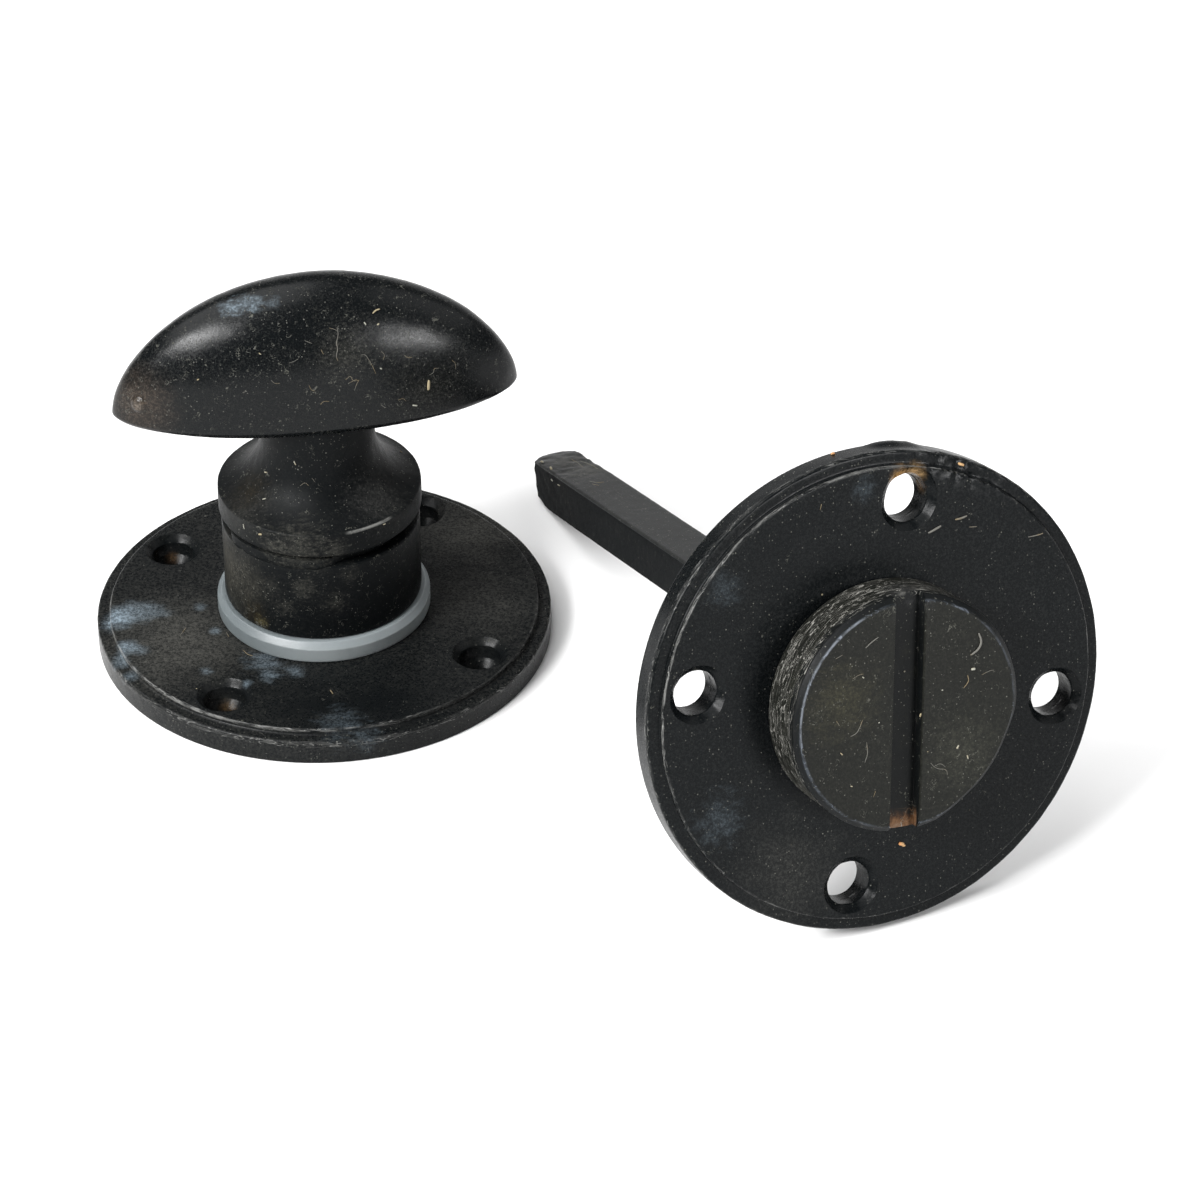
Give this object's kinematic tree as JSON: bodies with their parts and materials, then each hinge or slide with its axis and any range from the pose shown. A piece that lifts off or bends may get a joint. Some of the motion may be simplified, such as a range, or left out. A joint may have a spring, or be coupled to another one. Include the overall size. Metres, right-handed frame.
{
  "type": "thumb turn set",
  "caption": "Blackened steel bathroom thumb turn set: oval grip on a round rose, and a slotted coin release with a square spindle on a matching rose.",
  "frame": {"origin": "centre of the turn rose's back face, on the surface that the set stands on", "axes": "+Z along the turn's axis, out of the rose; +X to the right and +Y away from the viewer, along the surface, with the release half to the right"},
  "size_m": [0.1058, 0.0867, 0.0488],
  "materials": {
    "blackened_steel": "satin",
    "hidden_steel": "satin",
    "nylon": "satin"
  },
  "bodies": {
    "roses": {"turn_rose": "blackened_steel", "turn_bush": "nylon", "release_rose": "blackened_steel", "release_bush": "nylon"},
    "turn": {"turn_collar": "blackened_steel", "turn_neck": "blackened_steel", "turn_stud": "hidden_steel", "turn_grip": "blackened_steel", "turn_back_washer": "hidden_steel", "turn_retaining_clip": "hidden_steel"},
    "release": {"release_boss": "blackened_steel", "release_spigot": "blackened_steel", "spindle": "blackened_steel", "spindle_pin": "hidden_steel", "release_back_washer": "hidden_steel", "release_retaining_clip": "hidden_steel"}
  },
  "joints": [
    {"name": "turn_spin", "type": "hinge", "parent": "roses", "child": "turn", "pos_m": [0, 0, 0.0035], "axis": [0, 0, 1], "continuous": true},
    {"name": "release_spin", "type": "hinge", "parent": "roses", "child": "release", "pos_m": [0.05818, -0.04647, 0.025], "axis": [0.3942, -0.8771, 0.2743], "continuous": true}
  ]
}
